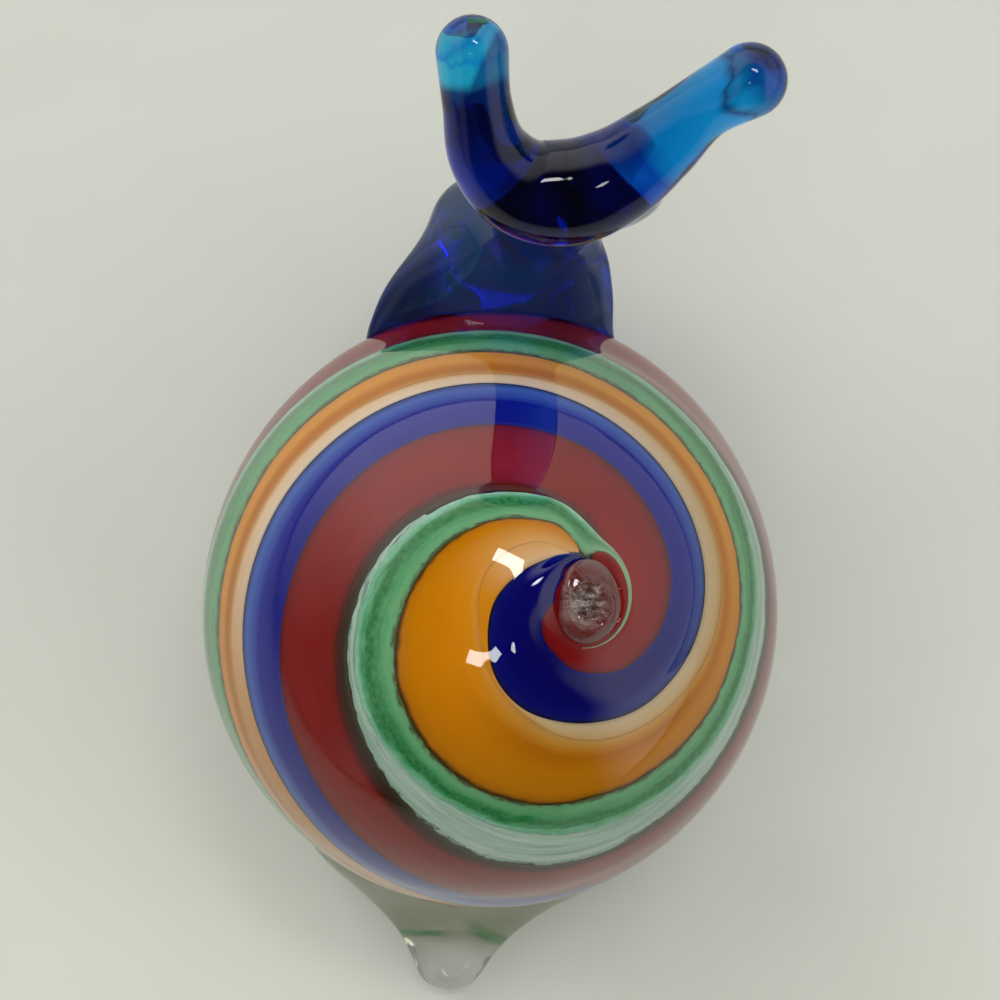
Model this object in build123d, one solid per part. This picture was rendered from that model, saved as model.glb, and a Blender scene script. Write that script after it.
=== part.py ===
from build123d import *
import math
import os

# Hand-worked glass snail: a hollow striped shell on a clear foot, with a cobalt
# neck and a U-shaped cobalt head bar whose two ends are the horns.
# Frame: head towards -Y, tail towards +Y, +Z up, origin on the table under the
# centre of the shell. Millimetres.

# ---- driving dimensions ------------------------------------------------------
shell_r = 40.0            # outer radius of the striped shell
shell_z = 47.0            # height of the shell centre above the table
casing_t = 1.4            # clear gather over the canes
cane_t = 2.3              # thickness of the cane layer
core_t = 2.6              # wall of the blown bubble under the canes
layer_gap = 0.06          # fit between the glass layers
cane_gap_deg = 0.06       # half of the fit between two canes, as an angle
apex_dir = (-0.3059, -0.0306, 0.9516)   # direction of the swirl's centre
apex_clear_deg = 8.8      # canes start this far from the apex, around the nub
pole_clear_deg = 166.0    # canes end this far from the apex, over the foot
nub_r = 5.2               # radius of the twisted-off stub
nub_proud = 1.5           # how far the stub stands out of the shell
section_step = 10.0       # spacing of the cane sections, degrees of turn
tail_cut = 0.0            # height of the flat resting face

casing_in = shell_r - casing_t
cane_out = casing_in - layer_gap
cane_in = cane_out - cane_t
core_out = cane_in - layer_gap
core_in = core_out - core_t

# ---- swirl layout ------------------------------------------------------------
# Each line is one border between two canes: turn angle (degrees, counter-clockwise
# from the snail's right, seen from above) -> angle from the apex (degrees).
border_blue = {100: 8.0, 120: 7.4, 140: 6.7, 160: 6.4, 180: 6.6, 200: 9.2, 220: 10.5,
    240: 11.3, 260: 12.5, 280: 13.2, 300: 14.3, 320: 15.0, 340: 16.0, 360: 17.2,
    380: 19.0, 400: 21.2, 420: 24.6, 440: 29.3, 460: 34.7, 480: 41.3, 500: 48.0,
    520: 54.2, 540: 59.3, 560: 63.9, 580: 67.6, 600: 71.8, 620: 76.5, 640: 79.0,
    660: 78.7, 690: 77.8, 720: 78.8, 750: 82.5, 780: 88.5, 810: 96.0, 840: 104.0,
    870: 112.0, 900: 119.0, 930: 124.5, 960: 128.5, 990: 131.2, 1020: 133.2,
    1050: 135.2, 1080: 137.8, 1110: 141.2, 1140: 145.3, 1170: 150.0, 1200: 155.0,
    1230: 159.5, 1260: 163.0, 1300: 166.0, 1340: 166.0, 1700: 166.0}
border_white = {100: 8.6, 120: 9.6, 140: 11.2, 160: 13.8, 180: 17.0, 200: 19.3,
    220: 21.5, 240: 22.5, 260: 22.3, 280: 22.4, 300: 23.0, 320: 23.5, 340: 24.5,
    360: 25.9, 380: 27.9, 400: 30.8, 420: 34.9, 440: 40.4, 460: 47.2, 480: 54.1,
    500: 60.8, 520: 66.9, 540: 71.6, 560: 75.0, 580: 78.6, 600: 83.5, 620: 88.5,
    640: 90.5}
border_orange = {80: 8.5, 100: 9.2, 120: 11.5, 140: 14.5, 160: 17.8, 180: 19.4,
    200: 20.9, 220: 22.9, 240: 24.0, 260: 25.0, 280: 26.2, 300: 27.0, 320: 27.8,
    340: 29.3, 360: 31.0, 380: 33.2, 400: 36.0, 420: 40.0, 440: 44.8, 460: 50.8,
    480: 58.2, 500: 65.6, 520: 72.0, 540: 76.8, 560: 80.4, 580: 84.4, 600: 89.2,
    620: 93.2, 640: 95.3}
border_green = {60: 8.0, 80: 8.6, 100: 12.6, 120: 17.5, 140: 23.2, 160: 28.5,
    180: 33.1, 200: 37.3, 220: 39.7, 240: 40.7, 260: 40.3, 280: 38.9, 300: 38.0,
    320: 37.4, 340: 37.0, 360: 37.7, 380: 39.6, 400: 42.6, 420: 46.9, 440: 52.9,
    460: 60.2, 480: 67.8, 500: 74.2, 520: 78.9, 540: 82.6, 560: 86.0, 580: 90.5,
    600: 96.0, 620: 100.0, 640: 101.6}
border_aqua = {40: 9.4, 60: 11.6, 80: 13.4, 100: 18.5, 120: 23.8, 140: 30.2,
    160: 36.5, 180: 41.9, 200: 45.6, 220: 47.0, 240: 47.0, 260: 47.8, 280: 47.9,
    300: 46.5, 320: 45.5, 340: 44.4, 360: 45.5, 380: 48.6, 400: 52.8, 420: 59.0,
    440: 67.0, 460: 75.5, 480: 84.0, 500: 90.5, 520: 95.0, 540: 98.5, 560: 101.3,
    580: 104.3, 600: 107.5, 620: 110.0, 640: 111.3}
border_clear = {40: 9.5, 60: 11.7, 80: 13.6, 100: 18.8, 120: 24.2, 140: 30.8,
    160: 37.3, 180: 42.9, 200: 47.0, 220: 50.6, 240: 54.3, 260: 57.6, 280: 58.0,
    300: 54.2, 320: 51.6, 340: 49.8, 360: 50.2, 380: 52.7, 400: 56.7, 420: 63.0,
    440: 71.0, 460: 79.5, 480: 87.5, 500: 94.0, 520: 98.5, 540: 102.0, 560: 105.0,
    580: 108.0, 600: 111.0, 620: 113.5, 640: 115.0}
border_red = {0: 8.0, 20: 8.3, 40: 9.6, 60: 11.9, 80: 16.0, 100: 21.0, 120: 26.3,
    140: 33.2, 160: 39.6, 180: 45.4, 200: 50.4, 220: 54.8, 240: 59.3, 260: 61.8,
    280: 60.6, 300: 56.6, 320: 54.0, 340: 52.6, 360: 53.0, 380: 55.5, 400: 59.6,
    420: 66.0, 440: 74.0, 460: 82.5, 480: 90.5, 500: 97.0, 520: 101.5, 540: 105.0,
    560: 108.0, 580: 111.0, 600: 114.0, 620: 116.5, 640: 118.0}
# share of one full turn of the swirl at which each border sits on the hidden underside
hidden_share = {"white": 0.22, "orange": 0.31, "green": 0.43, "aqua": 0.615,
    "clear": 0.69, "red": 0.745}

# ---- foot and tail: stations along Y ----------------------------------------
# y, centre x, half width, height
foot_stations = [(-36.0, 0.0, 10.0, 7.0), (-27.0, 0.0, 15.5, 9.6), (-13.0, 0.0, 24.6, 12.4),
    (0.0, 0.0, 29.0, 14.0), (13.0, 0.0, 30.0, 16.5), (24.0, 0.3, 30.0, 21.0),
    (31.0, 0.6, 29.2, 25.8), (36.0, 0.8, 27.0, 28.0), (39.5, 1.3, 23.6, 25.6),
    (43.0, 2.4, 18.8, 20.2), (46.5, 3.9, 13.8, 14.4), (50.0, 5.0, 9.8, 10.6),
    (53.5, 5.8, 7.0, 9.2), (56.0, 6.2, 5.6, 8.5), (58.0, 6.4, 4.3, 7.3),
    (59.2, 6.4, 2.9, 6.0), (59.8, 6.4, 1.3, 4.8)]
foot_centre_share = 0.36   # height of the widest point, as a share of the height

# ---- neck: a broad breast under the head that rises as a flattened column ---------
# z, back y, front y, width, centre x, taper towards the front
neck_stations = [(0.0, -33.0, -48.0, 14.5, 0.0, 0.40), (3.0, -31.0, -51.6, 18.0, 0.0, 0.45), (8.0, -29.6, -54.8, 21.0, 0.0, 0.52),
    (18.0, -28.0, -58.4, 24.2, 0.0, 0.62), (30.0, -26.4, -61.0, 26.6, 0.0, 0.70), (41.0, -28.0, -62.2, 27.0, 0.0, 0.72),
    (47.0, -33.4, -62.4, 25.4, -0.1, 0.72),
    (49.0, -38.5, -62.3, 24.0, -0.4, 0.70), (50.5, -41.0, -62.2, 22.4, -0.9, 0.67), (52.0, -43.4, -62.0, 20.0, -1.8, 0.62),
    (53.5, -45.2, -61.6, 17.0, -2.6, 0.54), (55.5, -46.8, -61.3, 13.8, -3.9, 0.42), (58.0, -47.8, -60.9, 11.0, -5.3, 0.28),
    (62.0, -48.5, -60.4, 9.2, -7.0, 0.15), (70.0, -48.6, -59.6, 9.0, -8.8, 0.05), (80.0, -48.0, -58.2, 10.0, -10.2, 0.0),
    (90.0, -46.4, -55.8, 11.0, -10.6, 0.0), (98.0, -44.6, -53.4, 11.4, -10.4, 0.0), (105.0, -42.8, -51.2, 10.6, -9.8, 0.0),
    (109.4, -41.8, -50.4, 9.6, -9.2, 0.0)]

# ---- head bar: centre line and radius ------------------------------------------
# x, y, height above the shell centre, radius
head_stations = [(1.9, -59.0, 77.0, 3.9), (1.4, -54.2, 74.4, 3.75), (0.0, -49.6, 70.0, 4.6),
    (-3.6, -46.7, 66.9, 5.5), (-8.6, -46.2, 66.0, 5.9), (-13.6, -47.8, 67.2, 5.4),
    (-18.4, -50.8, 70.2, 4.5), (-22.8, -54.0, 73.6, 3.6), (-27.4, -56.0, 77.0, 4.0)]


# ---- helpers -------------------------------------------------------------------
def table_curve(table):
    """Smooth curve through a table of angle -> angle."""
    xs = sorted(table)
    ys = [table[x] for x in xs]
    n = len(xs)
    slope = [(ys[i + 1] - ys[i]) / (xs[i + 1] - xs[i]) for i in range(n - 1)]
    m = [slope[0]] + [(slope[i - 1] + slope[i]) / 2 for i in range(1, n - 1)] + [slope[-1]]

    def value(x):
        if x <= xs[0]:
            return ys[0]
        if x >= xs[-1]:
            return ys[-1]
        i = max(k for k in range(n - 1) if xs[k] <= x)
        h = xs[i + 1] - xs[i]
        t = (x - xs[i]) / h
        return (ys[i] * (1 + 2 * t) * (1 - t) ** 2 + h * m[i] * t * (1 - t) ** 2
                + ys[i + 1] * t * t * (3 - 2 * t) + h * m[i + 1] * t * t * (t - 1))
    return value


blue_edge = table_curve(border_blue)


def border(table, name):
    """A border: its table where it is known, then a fixed share of the swirl's turn."""
    seen = table_curve(table)
    share = hidden_share[name]

    def value(turn):
        hidden = blue_edge(turn) + share * (blue_edge(turn + 360) - blue_edge(turn))
        if turn <= 600:
            return seen(turn)
        if turn >= 640:
            return hidden
        t = (turn - 600) / 40
        return seen(turn) * (1 - t) + hidden * t
    return value


white_edge = border(border_white, "white")
orange_edge = border(border_orange, "orange")
green_edge = border(border_green, "green")
aqua_edge = border(border_aqua, "aqua")
clear_edge = border(border_clear, "clear")
red_edge = border(border_red, "red")


def on_sphere(theta, phi, r):
    t, p = math.radians(theta), math.radians(phi)
    return Vector(r * math.sin(t) * math.cos(p), r * math.sin(t) * math.sin(p), r * math.cos(t))


def cane_section(t0, t1, phi):
    tm = (t0 + t1) / 2
    a = [on_sphere(t, phi, cane_in) for t in (t0, tm, t1)]
    b = [on_sphere(t, phi, cane_out) for t in (t0, tm, t1)]
    return Wire([Edge.make_three_point_arc(*a), Edge.make_line(a[2], b[2]),
                 Edge.make_three_point_arc(b[2], b[1], b[0]), Edge.make_line(b[0], a[0])])


def cane(inner, outer, start, min_deg=0.9):
    """One spiral cane between two borders, from the apex to the underside."""
    rows = []
    turn = start
    while turn < 1400:
        t0 = max(inner(turn), apex_clear_deg) + cane_gap_deg
        t1 = min(outer(turn), pole_clear_deg) - cane_gap_deg
        if rows and turn > 700 and t1 - t0 < min_deg:
            break
        rows.append(cane_section(t0, max(t1, t0 + 0.25), turn))
        turn += section_step
    return Solid.make_loft(rows)


# ---- shell ---------------------------------------------------------------------
centre = Vector(0, 0, shell_z)
apex = Vector(*apex_dir).normalized()
right = Vector(-1, 0, 0)
first = (right - apex * right.dot(apex)).normalized()
swirl = Location(Plane(origin=centre, x_dir=first, z_dir=apex))


def placed(shape, name, colour):
    shape = shape.moved(swirl)
    shape.label = name
    shape.color = Color(*colour)
    return shape


def labelled(shape, name, colour):
    shape.label = name
    shape.color = Color(*colour)
    return shape


ball = Sphere(core_out) - Sphere(core_in)
foot_boss = Cone(0.01, cane_out * math.tan(math.radians(180 - pole_clear_deg - 0.6)), cane_out,
                 rotation=(180, 0, 0), align=(Align.CENTER, Align.CENTER, Align.MIN))
foot_boss = (foot_boss & Sphere(cane_out)) - Sphere((core_out + core_in) / 2)
shell_core = (ball + foot_boss).solid()

red_cane = cane(lambda t: red_edge(t - 360), blue_edge, 225)
blue_cane = cane(blue_edge, white_edge, 128)
white_cane = cane(white_edge, orange_edge, 110)
orange_cane = cane(orange_edge, green_edge, 94)
green_cane = cane(green_edge, aqua_edge, 62)
aqua_cane = cane(aqua_edge, clear_edge, 210)
clear_cane = cane(clear_edge, red_edge, 82)

mouth = Cylinder(nub_r + 0.06, shell_r * 2, align=(Align.CENTER, Align.CENTER, Align.MIN))
shell_casing = (Sphere(shell_r) - Sphere(casing_in) - mouth).solid()
nub = Cylinder(nub_r, shell_r + nub_proud, align=(Align.CENTER, Align.CENTER, Align.MIN))
nub = fillet(nub.faces().sort_by(Axis.Z)[-1].edges(), 1.4)
apex_nub = (nub - Sphere(core_out + layer_gap)).solid()

# ---- foot, neck and head bar ------------------------------------------------------
shell_seat = Pos(0, 0, shell_z) * Sphere(shell_r)

rings = []
for y, x, w, h in foot_stations:
    zc = h * foot_centre_share
    flat = Plane(origin=(x, y, zc), x_dir=(1, 0, 0), z_dir=(0, -1, 0))
    rings.append(Wire([Edge.make_ellipse(w, h - zc, plane=flat)]))
foot_body = Solid.make_loft(rings)
above_table = Pos(0, 0, tail_cut) * Box(400, 400, 400, align=(Align.CENTER, Align.CENTER, Align.MIN))

neck_curves = [table_curve({s[0]: s[i] for s in neck_stations}) for i in range(1, 6)]
neck_levels = [s[0] for s in neck_stations]
neck_levels = sorted(neck_levels + [(u + v) / 2 for u, v in zip(neck_levels, neck_levels[1:])])


def neck_ring(z):
    back, front, width, x, taper = (c(z) for c in neck_curves)
    left, right = [], []
    for k in range(17):
        q = (1 - math.cos(math.pi * k / 16)) / 2
        half = (width * ((1 - taper) + taper * (0.25 + 2.36 * max(q - 0.25, 0) ** 2)) * math.sqrt(1 - (1 - q) ** (3 + 7 * taper))
                * math.sqrt(max(1 - q ** 3, 0)))
        y = front + (back - front) * q
        mid = x - 0.2 * taper * max(-y - 40, 0)
        left.append((mid + half, y, z))
        right.append((mid - half, y, z))
    return Wire([Edge.make_spline(left, tangents=[(1, 0, 0), (-1, 0, 0)]),
                 Edge.make_spline(right[::-1], tangents=[(-1, 0, 0), (1, 0, 0)])])


neck_body = Solid.make_loft([neck_ring(z) for z in neck_levels])

path = Spline(*[(x, y, z + shell_z) for x, y, z, r in head_stations])
marks = [path.param_at_point(Vector(x, y, z + shell_z)) for x, y, z, r in head_stations]
bar_radius = table_curve({m: s[3] for m, s in zip(marks, head_stations)})
bar_rings = 36


def bar_ring(at, along, r):
    flat = Plane(origin=at, x_dir=Vector(0, 0, 1).cross(along), z_dir=along)
    dots = [flat.from_local_coords((r * math.cos(math.radians(a)), r * math.sin(math.radians(a)), 0))
            for a in range(0, 360, 45)]
    return Wire([Edge.make_three_point_arc(dots[i], dots[i + 1], dots[(i + 2) % 8]) for i in (0, 2, 4, 6)])


rings = []
tip = head_stations[0][3]
for a in (82, 68, 52, 35, 17):
    along = path % 0
    rings.append(bar_ring((path @ 0) - along * tip * math.sin(math.radians(a)), along,
                          tip * math.cos(math.radians(a))))
for k in range(bar_rings + 1):
    t = k / bar_rings
    rings.append(bar_ring(path @ t, path % t, bar_radius(t)))
tip = head_stations[-1][3]
for a in (17, 35, 52, 68, 82):
    along = path % 1
    rings.append(bar_ring((path @ 1) + along * tip * math.sin(math.radians(a)), along,
                          tip * math.cos(math.radians(a))))
head_bar = Solid.make_loft(rings)

head_horns = head_bar
neck = ((neck_body & above_table) - shell_seat - head_bar)
neck = max(neck.solids(), key=lambda s: s.volume)
foot_tail = ((foot_body & above_table) - shell_seat - (neck_body & above_table))
foot_tail = max(foot_tail.solids(), key=lambda s: s.volume)

# ---- write one file per piece -------------------------------------------------------
os.makedirs("parts", exist_ok=True)
pieces = [
    placed(shell_core, "shell_core", (0.85, 0.9, 0.9)),
    placed(red_cane, "red_cane", (0.5, 0.08, 0.1)),
    placed(blue_cane, "blue_cane", (0.1, 0.12, 0.55)),
    placed(white_cane, "white_cane", (0.9, 0.8, 0.65)),
    placed(orange_cane, "orange_cane", (0.85, 0.5, 0.1)),
    placed(green_cane, "green_cane", (0.2, 0.6, 0.35)),
    placed(aqua_cane, "aqua_cane", (0.65, 0.8, 0.75)),
    placed(clear_cane, "clear_cane", (0.3, 0.27, 0.24)),
    placed(shell_casing, "shell_casing", (0.9, 0.95, 0.95)),
    placed(apex_nub, "apex_nub", (0.75, 0.75, 0.7)),
    labelled(foot_tail, "foot_tail", (0.8, 0.83, 0.78)),
    labelled(neck, "neck", (0.02, 0.08, 0.6)),
    labelled(head_horns, "head_horns", (0.02, 0.1, 0.7)),
]
for piece in pieces:
    export_step(piece, os.path.join("parts", piece.label + ".step"))
    box = piece.bounding_box()
    print(piece.label, round(piece.volume, 1), [round(v, 2) for v in (*box.min, *box.max)], piece.is_valid)
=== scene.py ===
import math
import bmesh
import bpy
import numpy as np
from mathutils import Matrix, Vector, noise


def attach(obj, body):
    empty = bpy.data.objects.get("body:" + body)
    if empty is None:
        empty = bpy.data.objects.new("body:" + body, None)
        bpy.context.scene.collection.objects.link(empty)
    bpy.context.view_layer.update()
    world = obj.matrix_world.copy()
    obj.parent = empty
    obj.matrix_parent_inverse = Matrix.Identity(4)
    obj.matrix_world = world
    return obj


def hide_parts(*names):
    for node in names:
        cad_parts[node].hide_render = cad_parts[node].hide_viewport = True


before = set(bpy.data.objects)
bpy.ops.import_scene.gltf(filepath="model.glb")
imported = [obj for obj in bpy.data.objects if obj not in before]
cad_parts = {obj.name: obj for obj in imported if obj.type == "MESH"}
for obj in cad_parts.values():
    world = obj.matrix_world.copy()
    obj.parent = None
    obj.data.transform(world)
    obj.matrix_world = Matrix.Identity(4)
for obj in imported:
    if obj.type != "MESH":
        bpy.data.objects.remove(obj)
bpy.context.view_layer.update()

MM = 0.001

# ---------------------------------------------------------------- dimensions
SHELL_R = 40.0
SHELL_Z = 47.0
CANE_R = 38.48            # outer face of the cane layer
CASE_IN = 38.62           # inner face of the clear gather
CAM_D = 300.0             # camera height above the shell centre
CENTRE = np.array([0.0, 0.0, SHELL_Z])

apex = np.array([-0.3059, -0.0306, 0.9516]); apex /= np.linalg.norm(apex)
first = np.array([-1.0, 0.0, 0.0]); first -= apex * first.dot(apex); first /= np.linalg.norm(first)
second = np.cross(apex, first)

# Borders of the swirl: turn angle -> angle from the apex, degrees.
BLUE = {-70: 5.6, -30: 5.35, 0: 5.1, 30: 5.75, 60: 6.6, 80: 7.2, 100: 7.9, 120: 7.4, 140: 6.7, 160: 6.4,
    180: 6.6, 200: 9.0, 220: 10.5, 240: 11.3, 260: 12.5, 280: 13.2, 300: 14.3, 320: 15.0, 340: 16.0,
    360: 17.2, 380: 19.0, 400: 21.2, 420: 24.6, 440: 29.3, 460: 34.7, 480: 41.3, 500: 48.0, 520: 54.2,
    540: 59.3, 560: 63.9, 580: 67.6, 600: 71.8, 620: 76.5, 640: 79.0, 660: 78.7, 690: 77.8, 720: 78.8,
    750: 82.5, 780: 88.5, 810: 96.0, 840: 104.0, 870: 112.0, 900: 119.0, 930: 124.5, 960: 128.5,
    990: 131.2, 1020: 133.2, 1050: 135.2, 1080: 137.8, 1110: 141.2, 1140: 145.3, 1170: 150.0,
    1200: 155.0, 1230: 159.5, 1260: 163.0, 1300: 166.0, 1340: 166.0, 1700: 166.0}
WHITE = {-70: 5.7, -30: 5.7, 0: 5.75, 30: 6.5, 60: 7.3, 80: 7.85, 100: 8.6, 120: 9.7, 140: 11.2, 160: 13.8,
    180: 17.0, 200: 19.3, 220: 21.5, 240: 22.5, 260: 22.3, 280: 22.4, 300: 23.0, 320: 23.5, 340: 24.5,
    360: 25.9, 380: 27.9, 400: 30.8, 420: 34.9, 440: 40.4, 460: 47.2, 480: 54.1, 500: 60.8, 520: 66.9,
    540: 71.6, 560: 75.0, 580: 78.6, 600: 83.5, 620: 88.5, 640: 90.5}
ORANGE = {100: 9.0, 112: 9.9, 120: 12.0, 130: 14.2, 140: 16.0, 150: 17.6, 160: 18.9, 170: 19.6, 180: 19.9,
    190: 20.0, 200: 20.6, 220: 22.0, 240: 23.1, 250: 23.9, 260: 25.0, 280: 26.2, 300: 27.0, 320: 27.8,
    340: 29.3, 360: 31.0, 380: 33.2, 400: 36.0, 420: 40.0, 440: 44.8, 460: 50.8, 480: 58.2, 500: 65.6,
    520: 72.0, 540: 76.8, 560: 80.4, 580: 84.4, 600: 89.2, 620: 93.2, 640: 95.3}
GREEN = {-95: 8.3, -60: 8.05, -30: 7.95, 0: 8.25, 30: 8.95, 60: 9.9, 75: 9.6, 84: 8.7, 92: 8.5, 98: 10.4,
    104: 13.0, 110: 15.2, 120: 17.5, 140: 23.2, 160: 28.5, 180: 33.1, 200: 37.3, 220: 39.7, 240: 40.7,
    260: 40.3, 280: 38.9, 300: 38.0, 320: 37.4, 340: 37.0, 360: 37.7, 380: 39.6, 400: 42.6, 420: 46.9,
    440: 52.9, 460: 60.2, 480: 67.8, 500: 74.2, 520: 78.9, 540: 82.6, 560: 86.0, 580: 90.5, 600: 96.0,
    620: 100.0, 640: 101.6}
AQUA = {-95: 8.4, -60: 8.35, -30: 8.5, 0: 8.95, 30: 9.85, 60: 11.3, 75: 12.4, 84: 14.0, 92: 16.1, 100: 18.5,
    120: 23.8, 140: 30.2, 160: 36.5, 180: 41.9, 200: 45.6, 220: 47.0, 240: 47.0, 260: 47.8, 280: 47.9,
    300: 46.5, 320: 45.5, 340: 44.4, 360: 45.5, 380: 48.6, 400: 52.8, 420: 59.0, 440: 67.0, 460: 75.5,
    480: 84.0, 500: 90.5, 520: 95.0, 540: 98.5, 560: 101.3, 580: 104.3, 600: 107.5, 620: 110.0, 640: 111.3}
CLEAR = {60: 11.7, 80: 13.6, 100: 18.8, 120: 24.2, 140: 30.8, 160: 37.3, 180: 42.9, 200: 47.0, 220: 50.6,
    240: 54.3, 260: 57.6, 280: 58.0, 300: 54.2, 320: 51.6, 340: 49.8, 360: 50.2, 380: 52.7, 400: 56.7,
    420: 63.0, 440: 71.0, 460: 79.5, 480: 87.5, 500: 94.0, 520: 98.5, 540: 102.0, 560: 105.0, 580: 108.0,
    600: 111.0, 620: 113.5, 640: 115.0}
RED = {40: 9.6, 60: 11.9, 80: 14.1, 100: 19.6, 120: 25.4, 140: 32.6, 160: 39.4, 180: 45.4, 200: 50.0,
    220: 53.8, 240: 57.6, 260: 60.3, 280: 60.0, 300: 57.0, 320: 54.3, 340: 52.9, 360: 53.2, 380: 55.7,
    400: 59.8, 420: 66.2, 440: 74.2, 460: 82.7, 480: 90.7, 500: 97.2, 520: 101.7, 540: 105.2, 560: 108.2,
    580: 111.2, 600: 114.2, 620: 116.7, 640: 118.2}
for _t in list(CLEAR):
    if _t >= 400:
        CLEAR[_t] = AQUA[_t] + max(0.35, 3.9 * (1 - (_t - 380) / 50.0))
        RED[_t] = CLEAR[_t] + max(0.5, 3.0 * (1 - (_t - 380) / 60.0))
SHARE = {"white": 0.22, "orange": 0.31, "green": 0.43, "aqua": 0.615, "clear": 0.69, "red": 0.745}

# Foot: y, centre x, half width, height.  Neck: z, x, y, half width, half depth.  Bar: x, y, z above shell centre, r.
FOOT = [(-36.0, 0.0, 10.0, 7.0), (-27.0, 0.0, 15.5, 9.6), (-13.0, 0.0, 24.6, 12.4), (0.0, 0.0, 29.0, 14.0),
    (13.0, 0.0, 30.0, 16.5), (24.0, 0.3, 30.0, 21.0), (31.0, 0.6, 29.2, 25.8), (36.0, 0.8, 27.0, 28.0),
    (39.5, 1.3, 23.6, 25.6), (43.0, 2.4, 18.8, 20.2), (46.5, 3.9, 13.8, 14.4), (50.0, 5.0, 9.8, 10.6),
    (53.5, 5.8, 7.0, 9.2), (56.0, 6.2, 5.6, 8.5), (58.0, 6.4, 4.3, 7.3), (59.2, 6.4, 2.9, 6.0),
    (59.75, 6.4, 1.0, 4.8)]
# Neck: z -> back y, front y, width, x, taper towards the front.
NECK = [(0.0, -33.0, -48.0, 14.5, 0.0, 0.40), (3.0, -31.0, -51.6, 18.0, 0.0, 0.45), (8.0, -29.6, -54.8, 21.0, 0.0, 0.52),
    (18.0, -28.0, -58.4, 24.2, 0.0, 0.62), (30.0, -26.4, -61.0, 26.6, 0.0, 0.70), (41.0, -28.0, -62.2, 27.0, 0.0, 0.72),
    (47.0, -33.4, -62.4, 25.4, -0.1, 0.72),
    (49.0, -38.5, -62.3, 24.0, -0.4, 0.70), (50.5, -41.0, -62.2, 22.4, -0.9, 0.67), (52.0, -43.4, -62.0, 20.0, -1.8, 0.62),
    (53.5, -45.2, -61.6, 17.0, -2.6, 0.54), (55.5, -46.8, -61.3, 13.8, -3.9, 0.42), (58.0, -47.8, -60.9, 11.0, -5.3, 0.28),
    (62.0, -48.5, -60.4, 9.2, -7.0, 0.15), (70.0, -48.6, -59.6, 9.0, -8.8, 0.05), (80.0, -48.0, -58.2, 10.0, -10.2, 0.0),
    (90.0, -46.4, -55.8, 11.0, -10.6, 0.0), (98.0, -44.6, -53.4, 11.4, -10.4, 0.0), (105.0, -42.8, -51.2, 10.6, -9.8, 0.0),
    (109.4, -41.8, -50.4, 9.6, -9.2, 0.0)]
BAR = [(1.9, -59.0, 77.0, 3.9), (1.4, -54.2, 74.4, 3.75), (0.0, -49.6, 70.0, 4.6), (-3.6, -46.7, 66.9, 5.5),
    (-8.6, -46.2, 66.0, 5.9), (-13.6, -47.8, 67.2, 5.4), (-18.4, -50.8, 70.2, 4.5), (-22.8, -54.0, 73.6, 3.6),
    (-27.4, -56.0, 77.0, 4.0)]


# ---------------------------------------------------------------- curves
def curve(table):
    xs = np.array(sorted(table), float)
    ys = np.array([table[k] for k in sorted(table)], float)
    s = np.diff(ys) / np.diff(xs)
    m = np.concatenate([[s[0]], (s[:-1] + s[1:]) / 2, [s[-1]]])

    def value(x):
        x = np.clip(np.asarray(x, float), xs[0], xs[-1])
        i = np.clip(np.searchsorted(xs, x, side="right") - 1, 0, len(xs) - 2)
        h = xs[i + 1] - xs[i]
        t = (x - xs[i]) / h
        return (ys[i] * (1 + 2 * t) * (1 - t) ** 2 + h * m[i] * t * (1 - t) ** 2
                + ys[i + 1] * t * t * (3 - 2 * t) + h * m[i + 1] * t * t * (t - 1))
    return value


blue_edge = curve(BLUE)


def border(table, name):
    seen = curve(table)

    def value(turn):
        turn = np.asarray(turn, float)
        hidden = blue_edge(turn) + SHARE[name] * (blue_edge(turn + 360) - blue_edge(turn))
        t = np.clip((turn - 600) / 40, 0, 1)
        return seen(turn) * (1 - t) + hidden * t
    return value


white_edge, orange_edge = border(WHITE, "white"), border(ORANGE, "orange")
green_edge, aqua_edge = border(GREEN, "green"), border(AQUA, "aqua")
clear_edge, red_edge = border(CLEAR, "clear"), border(RED, "red")


def ripple(turn, seed, size, waves):
    """A fixed ragged line: a sum of sines, in degrees."""
    rng = np.random.default_rng(seed)
    out = np.zeros_like(np.asarray(turn, float))
    for w in waves:
        a, p, k = rng.uniform(0.5, 1.0), rng.uniform(0, 6.28), rng.uniform(0.85, 1.15)
        out = out + a * np.sin(np.radians(turn) * w * k + p)
    return size * out / len(waves) ** 0.5


def smooth(a, b, x):
    t = np.clip((np.asarray(x, float) - a) / (b - a), 0, 1)
    return t * t * (3 - 2 * t)


def bulge(unit):
    """The shell is a little longer than wide: outward push at the girth, mm, for unit vectors from its centre."""
    flat = np.hypot(unit[..., 0], unit[..., 1]) + 1e-9
    hx, hy = unit[..., 0] / flat, unit[..., 1] / flat
    a, b, c = 40.0, 42.25, -0.84
    k = (hx / a) ** 2 + (hy / b) ** 2
    m = hy * c / b ** 2
    reach = (m + np.sqrt(np.maximum(m * m - k * ((c / b) ** 2 - 1), 0))) / k
    polar = np.degrees(np.arccos(np.clip(unit[..., 2], -1, 1)))
    push = np.maximum(reach - 40.0, 0) * smooth(74, 93, polar) * (1 - smooth(104, 132, polar))
    return np.stack([hx * push, hy * push, np.zeros_like(push)], -1)


def ball(theta, phi, r):
    t, p = np.radians(theta), np.radians(phi)
    local = (np.cos(t)[..., None] * apex + (np.sin(t) * np.cos(p))[..., None] * first
             + (np.sin(t) * np.sin(p))[..., None] * second)
    return CENTRE + local * np.asarray(r)[..., None] + bulge(local)


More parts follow.
